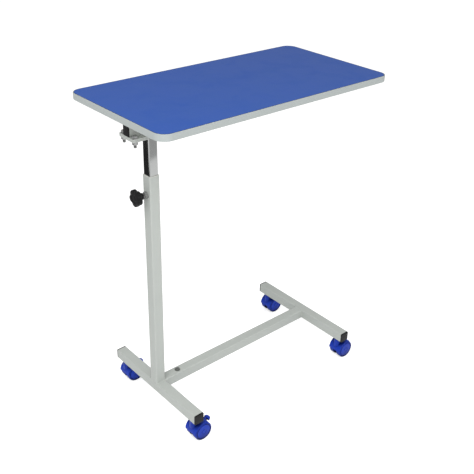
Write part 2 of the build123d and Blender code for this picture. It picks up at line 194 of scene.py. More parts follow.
# %% [markdown]
# ## Finishes
# Each finish is one short function call: a base colour, what changes that colour over the
# surface, a roughness with its own variation, and a bump whose depth is in real millimetres.
# Colours are linear values. Numbers that never change sit on the shader's own sockets.

# %% Build a finish
def finish(name, colour, second, roughness, grain=None, lines=None, depth=0.02, marks=0.4,
           edge_tint=None, corners=None, colour_by="Clouds", colour_amount=1.0, slot=None, **fixed):
    """A material: colour runs to the second colour by a mask, and roughness rises in the marks."""
    made = bpy.data.materials.new(name + "_finish")
    made["slot"] = slot or name
    made.use_nodes = True
    tree = made.node_tree
    shader = tree.nodes["Principled BSDF"]
    for label, value in fixed.items():
        shader.inputs[label.replace("_", " ")].default_value = value
    texture = add_node(tree, "ShaderNodeGroup", node_tree=grain_group)
    texture.inputs["Size"].default_value = grain or 0.0006
    height = texture.outputs["Height"]
    if lines:
        drawn = add_node(tree, "ShaderNodeGroup", node_tree=lines_group)
        drawn.inputs["Stretch"].default_value = lines
        height = drawn.outputs["Height"]
    handled = add_node(tree, "ShaderNodeGroup", node_tree=marks_group)
    handled.inputs["Amount"].default_value = marks
    mask = math_node(tree, "MULTIPLY", height if colour_by == "Height" else texture.outputs["Clouds"],
                     colour_amount)
    tint = add_node(tree, "ShaderNodeMix", {
        "Factor": mask, "A": (*colour, 1.0), "B": (*second, 1.0)}, data_type="RGBA")
    colour_out = tint.outputs["Result"]
    # Edges take their own tint: lighter for wear and for a painted highlight, darker for painted shade.
    if edge_tint:
        edge = add_node(tree, "ShaderNodeGroup", node_tree=edge_wear_and_light_group)
        edge.inputs["Amount"].default_value = edge_tint[1]
        edge_colour = add_node(tree, "ShaderNodeMix", {
            "Factor": edge.outputs["Mask"], "A": colour_out, "B": (*edge_tint[0], 1.0)}, data_type="RGBA")
        colour_out = edge_colour.outputs["Result"]
    # Painted shade: the colour runs darker where near surfaces shut the light out.
    if corners:
        painted_shade = add_node(tree, "ShaderNodeGroup", node_tree=corner_shade_group)
        painted_shade.inputs["Amount"].default_value = corners[1]
        shaded_colour = add_node(tree, "ShaderNodeMix", {
            "Factor": painted_shade.outputs["Mask"], "A": colour_out, "B": (*corners[0], 1.0)}, data_type="RGBA")
        colour_out = shaded_colour.outputs["Result"]
    rough = add_node(tree, "ShaderNodeMapRange", {
        "Value": handled.outputs["Mask"], "To Min": roughness, "To Max": min(1.0, roughness + 0.16)})
    bump = add_node(tree, "ShaderNodeBump", {
        "Height": height, "Strength": 0.6, "Distance": depth * MM})
    tree.links.new(colour_out, shader.inputs["Base Color"])
    tree.links.new(rough.outputs["Result"], shader.inputs["Roughness"])
    tree.links.new(bump.outputs["Normal"], shader.inputs["Normal"])
    return made


# %% The metals and paints
# The powder coat's edges are tinted lighter: a painted highlight along every edge.
powder_coat = finish("grey_powder_coat", (0.445, 0.472, 0.447), (0.413, 0.436, 0.413), 0.40,
                     grain=0.0011, depth=0.05, edge_tint=((0.55, 0.575, 0.55), 0.5))
# The weld nut is the frame's powder coat painted much darker as shade, with a painted highlight on its
# edges.
shaded_nut_coat = finish("shaded_powder_coat", (0.13, 0.135, 0.13), (0.19, 0.195, 0.19), 0.42, grain=0.0011,
                   depth=0.05, edge_tint=((0.32, 0.33, 0.32), 0.6), slot="grey_powder_coat")
chrome = finish("chrome_plate", (0.55, 0.56, 0.55), (0.50, 0.51, 0.51), 0.06, Metallic=1.0,
                lines=(1.0, 1.0, 0.004), depth=0.002, marks=0.5, colour_by="Height")
zinc = finish("zinc_plate", (0.56, 0.56, 0.54), (0.42, 0.43, 0.44), 0.32, Metallic=1.0, grain=0.0009,
              depth=0.01)
dark_zinc = finish("dark_zinc", (0.46, 0.48, 0.46), (0.34, 0.35, 0.34), 0.38, Metallic=1.0, grain=0.0009,
                   depth=0.012, slot="zinc_plate")
axle_steel = finish("axle_steel", (0.50, 0.50, 0.51), (0.36, 0.36, 0.37), 0.28, Metallic=1.0,
                    lines=(1.0, 0.01, 1.0), depth=0.006, colour_by="Height")
# %% The plastics
black_plastic = finish("black_plastic", (0.007, 0.007, 0.0075), (0.011, 0.011, 0.0115), 0.46,
                       grain=0.0005, depth=0.03, edge_tint=((0.025, 0.025, 0.026), 0.6),
                       Specular_IOR_Level=0.24)
natural_nylon = finish("nylon", (0.60, 0.61, 0.58), (0.53, 0.53, 0.49), 0.42, grain=0.0008, depth=0.015)
edge_plastic = finish("grey_edge_band", (0.395, 0.428, 0.422), (0.365, 0.395, 0.388), 0.36,
                      lines=(0.006, 0.006, 1.0), depth=0.012, marks=0.3)
# The casters' edges are tinted darker, a painted shade along their outlines, and their deep corners and
# the parts under the bar are painted darker still as shade.
caster_nylon = finish("blue_caster", (0.006, 0.040, 0.42), (0.005, 0.031, 0.34), 0.34, grain=0.0007,
                      depth=0.015, edge_tint=((0.004, 0.014, 0.18), 0.8), corners=((0.001, 0.004, 0.06), 1.7),
                      Specular_IOR_Level=0.22)
# %% The board
laminate = finish("blue_laminate", (0.015, 0.073, 0.355), (0.019, 0.081, 0.335), 0.38, grain=0.0007,
                  depth=0.022, marks=0.5, Specular_IOR_Level=0.35)
backing = finish("backing_sheet", (0.62, 0.62, 0.59), (0.55, 0.55, 0.51), 0.55, grain=0.0016, depth=0.03)
chipboard = finish("particle_board", (0.46, 0.30, 0.15), (0.20, 0.11, 0.05), 0.85, grain=0.0022,
                   depth=0.2, colour_by="Height", colour_amount=1.1)

# %% A thin dark line on the laminate along the band
# The distance to a rounded rectangle: fold the board on its middle, and measure from the corner.
EDGE_LINE = 0.9 * MM
EDGE_CORNER = 30 * MM
sheet_size = box_of("top_laminate")[3]
tree = laminate.node_tree
place = add_node(tree, "ShaderNodeTexCoord")
folded = add_node(tree, "ShaderNodeVectorMath", {0: place.outputs["Object"]}, operation="ABSOLUTE")
corner_at = (sheet_size.x / 2 - EDGE_CORNER, sheet_size.y / 2 - EDGE_CORNER, 10.0)
from_corner = add_node(tree, "ShaderNodeVectorMath", {0: folded.outputs[0], 1: corner_at},
                       operation="SUBTRACT")
outside = add_node(tree, "ShaderNodeVectorMath", {0: from_corner.outputs[0], 1: (0.0, 0.0, 0.0)},
                   operation="MAXIMUM")
away = add_node(tree, "ShaderNodeVectorMath", {0: outside.outputs[0]}, operation="LENGTH")
on_line = math_node(tree, "GREATER_THAN", away.outputs["Value"], EDGE_CORNER - EDGE_LINE)
shader = tree.nodes["Principled BSDF"]
sheet_colour = shader.inputs["Base Color"].links[0].from_socket
with_line = add_node(tree, "ShaderNodeMix", {
    "Factor": on_line, "A": sheet_colour, "B": (0.018, 0.018, 0.022, 1.0)}, data_type="RGBA")
tree.links.new(with_line.outputs["Result"], shader.inputs["Base Color"])
print("finishes:", [made.name for made in bpy.data.materials if "slot" in made])

# %% [markdown]
# ## Mesh helpers
# Turned and moulded pieces are made by skinning rings: closed loops of points with the same count,
# one above the other. It is how a boatbuilder thinks of a hull, and it makes closed meshes with
# even quads. Pieces are made standing on the origin and then laid along their real axis.

# %% Rings of points
def round_ring(radius, z, count=48):
    """A circle. The radius may be a function of the angle, and so may the height."""
    ring = []
    for i in range(count):
        angle = math.tau * i / count
        r = radius(angle) if callable(radius) else radius
        ring.append((r * math.cos(angle), r * math.sin(angle), z(angle) if callable(z) else z))
    return ring


def square_ring(width, height, corner, z, steps=6):
    """A rectangle with rounded corners, from one corner arc to the next."""
    ring = []
    for quarter, (sx, sy) in enumerate(((1, 1), (-1, 1), (-1, -1), (1, -1))):
        for i in range(steps + 1):
            angle = math.radians(90 * (quarter + i / steps))
            ring.append((sx * (width / 2 - corner) + corner * math.cos(angle),
                         sy * (height / 2 - corner) + corner * math.sin(angle), z))
    return ring


# %% Skin the rings
def loft(rings, wrap=False):
    """A closed mesh through the rings. With wrap, the last ring joins the first, as in a washer."""
    count = len(rings[0])
    points = [point for ring in rings for point in ring]
    faces = []
    for i in range(len(rings) if wrap else len(rings) - 1):
        here, there = i * count, (i + 1) % len(rings) * count
        for j in range(count):
            k = (j + 1) % count
            faces.append((here + j, here + k, there + k, there + j))
    if not wrap:
        faces.append(tuple(reversed(range(count))))
        faces.append(tuple(range(len(points) - count, len(points))))
    mesh = bpy.data.meshes.new("loft")
    mesh.from_pydata(points, [], faces)
    return mesh


# %% Join, place and finish pieces
FROM_Z = {
    "X": Matrix.Rotation(math.pi / 2, 4, "Y"), "-X": Matrix.Rotation(-math.pi / 2, 4, "Y"),
    "Y": Matrix.Rotation(-math.pi / 2, 4, "X"), "-Y": Matrix.Rotation(math.pi / 2, 4, "X"),
    "Z": Matrix.Identity(4), "-Z": Matrix.Rotation(math.pi, 4, "X"),
}


def joined(*meshes):
    """One mesh from several closed shells, with faces outwards."""
    work = bmesh.new()
    for mesh in meshes:
        work.from_mesh(mesh)
    bmesh.ops.remove_doubles(work, verts=work.verts, dist=1e-7)
    bmesh.ops.recalc_face_normals(work, faces=work.faces)
    result = bpy.data.meshes.new("joined")
    work.to_mesh(result)
    work.free()
    return result


def laid(mesh, origin, axis="Z"):
    """Lay a mesh made along +Z on another axis, and move it to its place."""
    moved = mesh.copy()
    moved.transform(Matrix.Translation(origin) @ FROM_Z[axis])
    return moved


def piece(name, mesh, body, material, *nodes, sharp=34):
    """A finished piece: smooth shading, flat faces kept flat, its material, body and CAD nodes."""
    mesh.name = name
    made = bpy.data.objects.new(name, mesh)
    scene.collection.objects.link(made)
    mesh.materials.clear()
    mesh.materials.append(material)
    mesh.shade_smooth()
    mesh.set_sharp_from_angle(angle=math.radians(sharp))
    flat_kept = made.modifiers.new("even normals", "WEIGHTED_NORMAL")
    flat_kept.keep_sharp = True
    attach(made, body)
    if nodes:
        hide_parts(*nodes)
    return made


# %% [markdown]
# ## Geometry Nodes helpers
# Tubes, weld beads and fasteners follow rules or repeat, which is what Geometry Nodes are for.
# Each tree has named inputs. A seed object runs the tree once, its result is kept as a plain
# mesh, and the seed is thrown away, so nothing live is left in the file.

# %% Make a tree and run it
def geometry_tree(name, inputs):
    tree = bpy.data.node_groups.new(name, "GeometryNodeTree")
    tree.is_modifier = True
    for label, kind in (("Geometry", "NodeSocketGeometry"), *inputs.items()):
        tree.interface.new_socket(label, in_out="INPUT", socket_type=kind)
    tree.interface.new_socket("Geometry", in_out="OUTPUT", socket_type="NodeSocketGeometry")
    return tree, tree.nodes.new("NodeGroupInput"), tree.nodes.new("NodeGroupOutput")


def end_tree(tree, geometry, material, out):
    """Every tree ends the same way: real geometry, with its material."""
    real = add_node(tree, "GeometryNodeRealizeInstances", {"Geometry": geometry})
    painted = add_node(tree, "GeometryNodeSetMaterial", {
        "Geometry": real.outputs["Geometry"], "Material": material})
    tree.links.new(painted.outputs["Geometry"], out.inputs["Geometry"])


def grown(tree, values, source=None):
    """Run a tree on a seed object and return its result as a plain mesh."""
    seed = bpy.data.objects.new("seed", source or bpy.data.meshes.new("seed"))
    scene.collection.objects.link(seed)
    step = seed.modifiers.new("tree", "NODES")
    step.node_group = tree
    for item in tree.interface.items_tree:
        if item.in_out == "INPUT" and item.name in values:
            step[item.identifier] = values[item.name]
    evaluated = seed.evaluated_get(bpy.context.evaluated_depsgraph_get())
    mesh = bpy.data.meshes.new_from_object(evaluated)
    seed.modifiers.remove(step)
    bpy.data.objects.remove(seed)
    return mesh


def path_mesh(points):
    """A line of points and edges, for trees that follow a path."""
    mesh = bpy.data.meshes.new("path")
    mesh.from_pydata(points, [(i, i + 1) for i in range(len(points) - 1)], [])
    return mesh


# %% [markdown]
# ## Square tube
# The frame is cold-rolled square tube with a small outside corner. Two rounded rectangles, one
# inside the other, are filled to a ring and the ring is extruded: the tube is truly hollow, so
# its open ends and its wall are right wherever they show.

# %% The square tube tree
LENGTH_KIND = "NodeSocketFloat"
tube_tree, into, out = geometry_tree("Square tube", {
    "Length": LENGTH_KIND, "Width": LENGTH_KIND, "Depth": LENGTH_KIND, "Wall": LENGTH_KIND,
    "Corner": LENGTH_KIND, "Inner corner": LENGTH_KIND, "Material": "NodeSocketMaterial"})


def rounded_section(tree, width, depth, corner):
    outline = add_node(tree, "GeometryNodeCurvePrimitiveQuadrilateral", {0: width, 1: depth})
    return add_node(tree, "GeometryNodeFilletCurve", {
        "Curve": outline.outputs["Curve"], "Radius": corner, "Count": 6}, mode="POLY").outputs["Curve"]


both_walls = math_node(tube_tree, "MULTIPLY", into.outputs["Wall"], 2.0)
inner_width = math_node(tube_tree, "SUBTRACT", into.outputs["Width"], both_walls)
inner_depth = math_node(tube_tree, "SUBTRACT", into.outputs["Depth"], both_walls)
sections = add_node(tube_tree, "GeometryNodeJoinGeometry")
for section in (rounded_section(tube_tree, inner_width, inner_depth, into.outputs["Inner corner"]),
                rounded_section(tube_tree, into.outputs["Width"], into.outputs["Depth"],
                                into.outputs["Corner"])):
    tube_tree.links.new(section, sections.inputs[0])
ring = add_node(tube_tree, "GeometryNodeFillCurve", {"Curve": sections.outputs[0]}, mode="TRIANGLES")
raised = add_node(tube_tree, "GeometryNodeExtrudeMesh", {
    "Mesh": ring.outputs["Mesh"], "Offset": (0.0, 0.0, 1.0), "Offset Scale": into.outputs["Length"],
    "Individual": False}, mode="FACES")
floor_ring = add_node(tube_tree, "GeometryNodeFlipFaces", {"Mesh": ring.outputs["Mesh"]})
whole = add_node(tube_tree, "GeometryNodeJoinGeometry")
tube_tree.links.new(raised.outputs["Mesh"], whole.inputs[0])
tube_tree.links.new(floor_ring.outputs["Mesh"], whole.inputs[0])
welded = add_node(tube_tree, "GeometryNodeMergeByDistance", {
    "Geometry": whole.outputs[0], "Distance": 1e-6})
end_tree(tube_tree, welded.outputs["Geometry"], into.outputs["Material"], out)

# %% Make each tube from its CAD box
TUBE_WALL = 1.5 * MM
TUBE_CORNER = 3.0 * MM
AXIS_INDEX = {"X": 0, "Y": 1, "Z": 2}


def square_tube(node, axis, body, material, wall=TUBE_WALL):
    low, high, mid, size = box_of(node)
    along = AXIS_INDEX[axis]
    # A mesh laid from Z on X has its own X on -Z, and one laid on Y keeps its X.
    width, depth = {"X": (size.z, size.y), "Y": (size.x, size.z), "Z": (size.x, size.y)}[axis]
    mesh = grown(tube_tree, {
        "Length": size[along], "Width": width, "Depth": depth, "Wall": wall, "Corner": TUBE_CORNER,
        "Inner corner": TUBE_CORNER - wall * 0.9, "Material": material})
    start = mid.copy()
    start[along] = low[along]
    made = piece(node + "_tube", joined(laid(mesh, start, axis)), body, material, node)
    print(node, "tube", round(size[along] / MM), "mm,", len(made.data.polygons), "faces")
    return made


for node, axis in (("left_foot_bar", "Y"), ("right_foot_bar", "Y"), ("centre_bar_stub", "X"),
                   ("centre_bar", "X"), ("outer_post", "Z")):
    square_tube(node, axis, "base", powder_coat)
square_tube("inner_column", "Z", "column", chrome)
square_tube("top_beam", "X", "column", powder_coat)

# %% [markdown]
# ## Weld beads
# Welded tube joints show a small rippled bead. A bead is a row of overlapping drops along a path, so the
# tree resamples the path, sets a ball on each point with a little change in size from a fixed seed, and
# realises them. The paint covers weld and tube alike.

# %% The weld bead tree
bead_tree, into, out = geometry_tree("Weld bead", {
    "Pitch": LENGTH_KIND, "Radius": LENGTH_KIND, "Seed": "NodeSocketInt",
    "Material": "NodeSocketMaterial"})
line = add_node(bead_tree, "GeometryNodeMeshToCurve", {"Mesh": into.outputs["Geometry"]})
drops = add_node(bead_tree, "GeometryNodeResampleCurve", {
    "Curve": line.outputs["Curve"], "Length": into.outputs["Pitch"]}, mode="LENGTH")
ball = add_node(bead_tree, "GeometryNodeMeshIcoSphere", {
    "Radius": into.outputs["Radius"], "Subdivisions": 3})
uneven = add_node(bead_tree, "FunctionNodeRandomValue", {
    2: 0.86, 3: 1.08, "Seed": into.outputs["Seed"]}, data_type="FLOAT")
placed = add_node(bead_tree, "GeometryNodeInstanceOnPoints", {
    "Points": drops.outputs["Curve"], "Instance": ball.outputs["Mesh"], "Scale": uneven.outputs[1]})
end_tree(bead_tree, placed.outputs["Instances"], into.outputs["Material"], out)

# %% Beads where one tube is welded on another
BEAD_R = 1.7 * MM
BEAD_PITCH = 1.5 * MM


def weld(points, seed, radius=BEAD_R):
    return grown(bead_tree, {"Pitch": BEAD_PITCH, "Radius": radius, "Seed": seed,
                             "Material": powder_coat}, path_mesh(points))


def square_path(mid, width, depth, z, inset=3 * MM):
    """The four sides of a tube's foot, as four short paths."""
    x, y = width / 2, depth / 2
    sides = (((-x + inset, -y), (x - inset, -y)), ((x, -y + inset), (x, y - inset)),
             ((x - inset, y), (-x + inset, y)), ((-x, y - inset), (-x, -y + inset)))
    return [[(mid.x + px, mid.y + py, z) for px, py in side] for side in sides]


post_foot = square_path(post_mid, post_size.x, post_size.y, post_low.z)
beads = [weld(path, seed) for seed, path in enumerate(post_foot[0::2])]
for bar_node, end in (("centre_bar_stub", 0), ("centre_bar", 1)):
    low, high, mid, size = box_of(bar_node)
    x = high.x if end else low.x
    for side in (-1, 1):
        upright = [(x, side * size.y / 2, low.z + 3 * MM), (x, side * size.y / 2, high.z - 3 * MM)]
        beads.append(weld(upright, 10 + side))
base_beads = piece("base_weld_beads", joined(*beads), "base", powder_coat, sharp=60)
print("base weld beads:", len(base_beads.data.polygons), "faces")

# %% Beads under the worktop: column to head plate, and beam to its plate
_, column_high, column_mid, column_size = box_of("inner_column")
beam_low, beam_high, beam_mid, beam_size = box_of("top_beam")
plate_low, plate_high, _, _ = box_of("beam_plate")
top_beads = [weld(path, seed) for seed, path in enumerate(
    square_path(column_mid, column_size.x, column_size.y, column_high.z))]
BEAD_RUN = 45 * MM
for side in (-1, 1):
    for start in (plate_low.x + 12 * MM, plate_high.x - 12 * MM - BEAD_RUN):
        y = side * beam_size.y / 2
        start = max(start, beam_low.x + 4 * MM)
        top_beads.append(weld([(start, y, beam_low.z), (start + BEAD_RUN, y, beam_low.z)], 20 + side))
piece("column_weld_beads", joined(*top_beads), "column", powder_coat, sharp=60)

# %% [markdown]
# ## End plugs
# The tube ends are closed with black moulded plugs. A plug's outer face is slightly crowned, its
# rim is round, and a thin shadow step separates it from the tube. It is one loft of rounded
# squares, from the ribbed block inside the tube out to the crowned face.

# %% Plugs in the foot bars and caps on the beam
def end_cap(width, height, thick, inside, depth, corner=3.0 * MM):
    """A cap standing on the tube's end at z 0, with its block inside the tube below."""
    grip = 0.25 * MM
    rings = [square_ring(width - 2 * inside - 1 * MM, height - 2 * inside - 1 * MM, 1 * MM, -depth),
             square_ring(width - 2 * inside, height - 2 * inside, 1.5 * MM, -depth + 1 * MM)]
    ribs = 3
    for i in range(ribs):
        z = -depth + (2 + 3.2 * i) * MM
        for shrink, rise in ((0.0, 0.0), (0.5 * MM, 0.5 * MM), (0.5 * MM, 1.7 * MM), (0.0, 2.2 * MM)):
            side = 2 * inside + shrink
            rings.append(square_ring(width - side, height - side, 1.5 * MM, z + rise))
    rings.append(square_ring(width - 2 * inside, height - 2 * inside, 1.5 * MM, 0))
    rings.append(square_ring(width - 2 * grip, height - 2 * grip, corner - grip, 0))
    rings.append(square_ring(width, height, corner, 0.4 * MM))
    rim = min(1.3 * MM, thick * 0.6)
    steps = 6
    for i in range(steps + 1):
        angle = math.radians(90 * i / steps)
        inset = rim * (1 - math.cos(angle))
        rings.append(square_ring(width - 2 * inset, height - 2 * inset, max(corner - inset, 0.6 * MM),
                                 thick - 0.5 * MM - rim + rim * math.sin(angle)))
    crown = 4
    for i in range(1, crown + 1):
        share = 1 - i / (crown + 1)
        w, h = (width - 2 * rim) * share, (height - 2 * rim) * share
        rings.append(square_ring(w, h, min(w, h) * 0.2, thick - 0.5 * MM * share ** 2))
    return loft(rings)


plug_high = box_of("foot_bar_end_plugs")[1]
PLUG_INSIDE = TUBE_WALL + 0.1 * MM
plugs = []
for node in ("left_foot_bar", "right_foot_bar"):
    low, high, mid, size = box_of(node)
    cap = end_cap(size.x, size.z, plug_high.y - high.y, PLUG_INSIDE, 14 * MM)
    plugs.append(laid(cap, (mid.x, high.y, mid.z), "Y"))
    plugs.append(laid(cap, (mid.x, low.y, mid.z), "-Y"))
piece("foot_bar_plugs", joined(*plugs), "base", black_plastic, "foot_bar_end_plugs")

caps_high = box_of("beam_end_caps")[1]
cap = end_cap(beam_size.z, beam_size.y, caps_high.x - beam_high.x, PLUG_INSIDE, 12 * MM)
piece("beam_caps", joined(laid(cap, (beam_high.x, 0, beam_mid.z), "X"),
                          laid(cap, (beam_low.x, 0, beam_mid.z), "-X")),
      "column", black_plastic, "beam_end_caps")

# %% [markdown]
# ## Plates and straps
# Flat bar is sheared, so its edges have a small soft break and its corners are nipped round.
# A bevel this small looks like nothing, but it is what catches a line of light along the edge.

# %% Flat plates with softened edges
def flat_plate(width, depth, thick, corner, edge=0.5 * MM):
    rings = []
    for inset, z in ((edge, 0), (edge * 0.3, edge * 0.3), (0, edge), (0, thick - edge),
                     (edge * 0.3, thick - edge * 0.3), (edge, thick)):
        rings.append(square_ring(width - 2 * inset, depth - 2 * inset, corner - inset, z))
    return loft(rings)


for node in ("column_head_plate", "beam_plate"):
    low, high, mid, size = box_of(node)
    plate = laid(flat_plate(size.x, size.y, size.z, 4 * MM), (mid.x, mid.y, low.z))
    piece(node + "_steel", joined(plate), "column", powder_coat, node)

strap_low, _, strap_mid, strap_size = box_of("cross_straps")
STRAP_WIDTH = 40 * MM
strap = flat_plate(STRAP_WIDTH, strap_size.y, strap_size.z, 5 * MM)
strap_reach = strap_size.x / 2 - STRAP_WIDTH / 2
strap_x = [strap_mid.x + x for x in (-strap_reach, 0, strap_reach)]
straps = [laid(strap, (x, strap_mid.y, strap_low.z)) for x in strap_x]
piece("cross_strap_bars", joined(*straps), "column", powder_coat, "cross_straps")

# %% [markdown]
# ## Threads, bolts, washers and nuts
# A thread is a groove that climbs one pitch a turn. On rings of points that is a radius which
# depends on both the height and the angle, so it becomes a true helix for free. A hexagon is a
# radius that depends on the angle, and its turned corners come from a height that does.

# %% Fastener shapes
def hexagon(across):
    """The radius of a hexagon at each angle."""
    return lambda angle: across / 2 / math.cos((angle + math.pi / 6) % (math.pi / 3) - math.pi / 6)


def hex_corner(across, top, sign=1):
    """The height of a turned-off corner: 30 degrees down from a circle inside the flats."""
    start = across / 2 * 0.95
    return lambda angle: top - sign * (hexagon(across)(angle) - start) * math.tan(math.radians(30))


def hex_head(across, height):
    """A bolt head: chamfered top, with the circle that the chamfer leaves slightly dished."""
    return loft([
        round_ring(hexagon(across), 0), round_ring(hexagon(across), hex_corner(across, height)),
        round_ring(across / 2 * 0.95, height), round_ring(across / 2 * 0.72, height),
        round_ring(across / 2 * 0.66, height - 0.25 * MM)])


def hex_nut(across, height, bore):
    """A nut chamfered on both faces, with a countersunk bore."""
    sink = 0.5 * MM
    return loft([
        round_ring(bore + sink, 0), round_ring(across / 2 * 0.95, 0),
        round_ring(hexagon(across), hex_corner(across, 0, -1)),
        round_ring(hexagon(across), hex_corner(across, height)),
        round_ring(across / 2 * 0.95, height), round_ring(bore + sink, height),
        round_ring(bore, height - sink), round_ring(bore, sink)], wrap=True)


def washer_ring(outer, bore, thick):
    edge = 0.25 * MM
    return loft([
        round_ring(bore, 0), round_ring(outer - edge, 0), round_ring(outer, edge),
        round_ring(outer, thick - edge), round_ring(outer - edge, thick), round_ring(bore, thick)],
        wrap=True)


def threaded_rod(radius, length, pitch):
    """A rod from z 0 up, with a true helical thread and chamfered ends."""
    depth = pitch * 0.55
    end = 1.0 * MM
    steps = max(6, round(length / pitch * 8))
    rings = []
    for i in range(steps + 1):
        z = length * i / steps
        taper = max(0.0, end - min(z, length - z)) * 0.8

        def groove(angle, z=z, taper=taper):
            wave = abs(2 * ((z / pitch - angle / math.tau) % 1) - 1)
            return min(radius - depth * wave, radius - taper)

        rings.append(round_ring(groove, z, 36))
    return loft(rings)


# %% [markdown]
# ## The same fastener in many places
# One tree puts a master piece on every point of a small mesh. Each point carries its own turn,
# because nobody tightens four bolts to the same angle.

# %% The copies tree
copies_tree, into, out = geometry_tree("Copies at points", {
    "Master": "NodeSocketObject", "Seed": "NodeSocketInt", "Turn": LENGTH_KIND,
    "Material": "NodeSocketMaterial"})
master = add_node(copies_tree, "GeometryNodeObjectInfo", {"Object": into.outputs["Master"]})
turn = add_node(copies_tree, "FunctionNodeRandomValue", {
    3: into.outputs["Turn"], "Seed": into.outputs["Seed"]}, data_type="FLOAT")
spin = add_node(copies_tree, "FunctionNodeAxisAngleToRotation", {
    "Axis": (0.0, 0.0, 1.0), "Angle": turn.outputs[1]})
copies = add_node(copies_tree, "GeometryNodeInstanceOnPoints", {
    "Points": into.outputs["Geometry"], "Instance": master.outputs["Geometry"],
    "Rotation": spin.outputs["Rotation"]})
end_tree(copies_tree, copies.outputs["Instances"], into.outputs["Material"], out)


def copied(mesh, places, material, seed=1):
    """The mesh once at each place, as one plain mesh."""
    master_piece = bpy.data.objects.new("master", mesh)
    scene.collection.objects.link(master_piece)
    made = grown(copies_tree, {"Master": master_piece, "Seed": seed, "Turn": math.tau,
                               "Material": material}, path_mesh(places))
    bpy.data.objects.remove(master_piece)
    return made


# %% The plate bolts, their washers and nuts
bolts_low, bolts_high, bolts_mid, _ = box_of("plate_bolts")
washers_low, washers_high, _, washers_size = box_of("plate_washers")
nuts_low = box_of("plate_nuts")[0]
WASHER_T = 1.6 * MM
M8_R, M8_PITCH, M8_HEX, M8_NUT = 4.0 * MM, 1.25 * MM, 13.0 * MM, 6.5 * MM
reach = Vector(((washers_size.x / 2 - 8 * MM), (washers_size.y / 2 - 8 * MM)))
corners = [(bolts_mid.x + i * reach.x, bolts_mid.y + j * reach.y) for i in (-1, 1) for j in (-1, 1)]
head_z = washers_high.z
bolt = joined(threaded_rod(M8_R, head_z - bolts_low.z, M8_PITCH),
              laid(hex_head(M8_HEX, bolts_high.z - head_z), (0, 0, head_z - bolts_low.z)))
piece("plate_bolt_set", copied(bolt, [(x, y, bolts_low.z) for x, y in corners], zinc, seed=3),
      "column", zinc, "plate_bolts")
nut = hex_nut(M8_HEX, M8_NUT, M8_R)
piece("plate_nut_set", joined(copied(nut, [(x, y, nuts_low.z) for x, y in corners], zinc, seed=5)),
      "column", zinc, "plate_nuts")
washer = washer_ring(8 * MM, 4.2 * MM, WASHER_T)
levels = (washers_high.z - WASHER_T, washers_low.z)
washer_places = [(x, y, z) for x, y in corners for z in levels]
piece("plate_washer_set", joined(copied(washer, washer_places, zinc)), "column", zinc, "plate_washers")

# %% The knock-down bolt in the centre bar
bolt_low, bolt_high, bolt_mid, _ = box_of("centre_bar_bolt")
seat_low, seat_high, _, seat_size = box_of("centre_bar_washer")
rod_length = seat_high.z - bolt_low.z
main_bolt = joined(laid(threaded_rod(M8_R, rod_length, M8_PITCH), (bolt_mid.x, 0, bolt_low.z)),
                   laid(hex_head(M8_HEX, bolt_high.z - seat_high.z), (bolt_mid.x, 0, seat_high.z)))
piece("knock_down_bolt", main_bolt, "base", dark_zinc, "centre_bar_bolt")
piece("knock_down_washer", joined(laid(washer_ring(seat_size.x / 2, 4.2 * MM, seat_size.z),
                                       (bolt_mid.x, 0, seat_low.z))),
      "base", dark_zinc, "centre_bar_washer")

# %% [markdown]
# ## Board screws
# Twelve pan-head screws hold the board to the straps. A cross recess is four slots round the
# middle of the head: the head's rings dip there, by a height that depends on the angle.

# %% Screws with a cross recess
HEAD_R, SCREW_R = 4.6 * MM, 2.0 * MM
screws_low, _, _, screws_size = box_of("board_screws")


def cross_dip(radius, depth):
    """Deep along the two bars of a cross, zero between them."""
    def dip(angle):
        off = abs((angle + math.pi / 4) % (math.pi / 2) - math.pi / 4)
        return depth if radius * math.sin(off) < 0.45 * MM else 0.0
    return dip


def pan_screw(length):
    """Head at the bottom, facing down, and the screw above it, from z 0."""
    rings = []
    for radius in (0.5, 1.0, 1.5, 2.0, 2.3, 2.6):
        dip = cross_dip(radius * MM, 1.1 * MM if radius < 2.3 else 0.0)
        rings.append(round_ring(radius * MM, lambda angle, dip=dip: 0.06 * MM + dip(angle), 64))
    steps = 6
    for i in range(steps + 1):
        angle = math.radians(90 * i / steps)
        rings.append(round_ring(HEAD_R - 1.8 * MM + 1.8 * MM * math.sin(angle),
                                1.8 * MM * (1 - math.cos(angle)) + 0.02 * MM, 64))
    rings.append(round_ring(HEAD_R, 2.6 * MM, 64))
    rings.append(round_ring(SCREW_R, 2.6 * MM, 64))
    rings.append(round_ring(SCREW_R, length - 2 * MM, 64))
    rings.append(round_ring(0.3 * MM, length, 64))
    return loft(rings)


screw_y = [side * (screws_size.y / 2 - HEAD_R) * share for side in (-1, 1) for share in (1.0, 0.5)]
screw_places = [(x, y, screws_low.z) for x in strap_x for y in screw_y]
piece("board_screw_set", joined(copied(pan_screw(screws_size.z), screw_places, zinc, seed=9)),
      "column", zinc, "board_screws")

# %% [markdown]
# ## Edge band
# The band is an extruded plastic strip, 2 mm thick, glued right round the board. Both rims are
# rounded. It starts and ends at a butt seam on the short side above the column. The path is a
# rounded rectangle that begins at the seam, and a tree sweeps the strip's section along it.

# %% The band tree
band_tree, into, out = geometry_tree("Edge band", {
    "Thickness": LENGTH_KIND, "Height": LENGTH_KIND, "Rim": LENGTH_KIND,
    "Material": "NodeSocketMaterial"})
line = add_node(band_tree, "GeometryNodeMeshToCurve", {"Mesh": into.outputs["Geometry"]})
upright = add_node(band_tree, "GeometryNodeSetCurveNormal", {"Curve": line.outputs["Curve"]},
                   mode="Z_UP")
strip = rounded_section(band_tree, *(into.outputs[name] for name in ("Thickness", "Height", "Rim")))
swept = add_node(band_tree, "GeometryNodeCurveToMesh", {
    "Curve": upright.outputs["Curve"], "Profile Curve": strip, "Fill Caps": True})
end_tree(band_tree, swept.outputs["Mesh"], into.outputs["Material"], out)

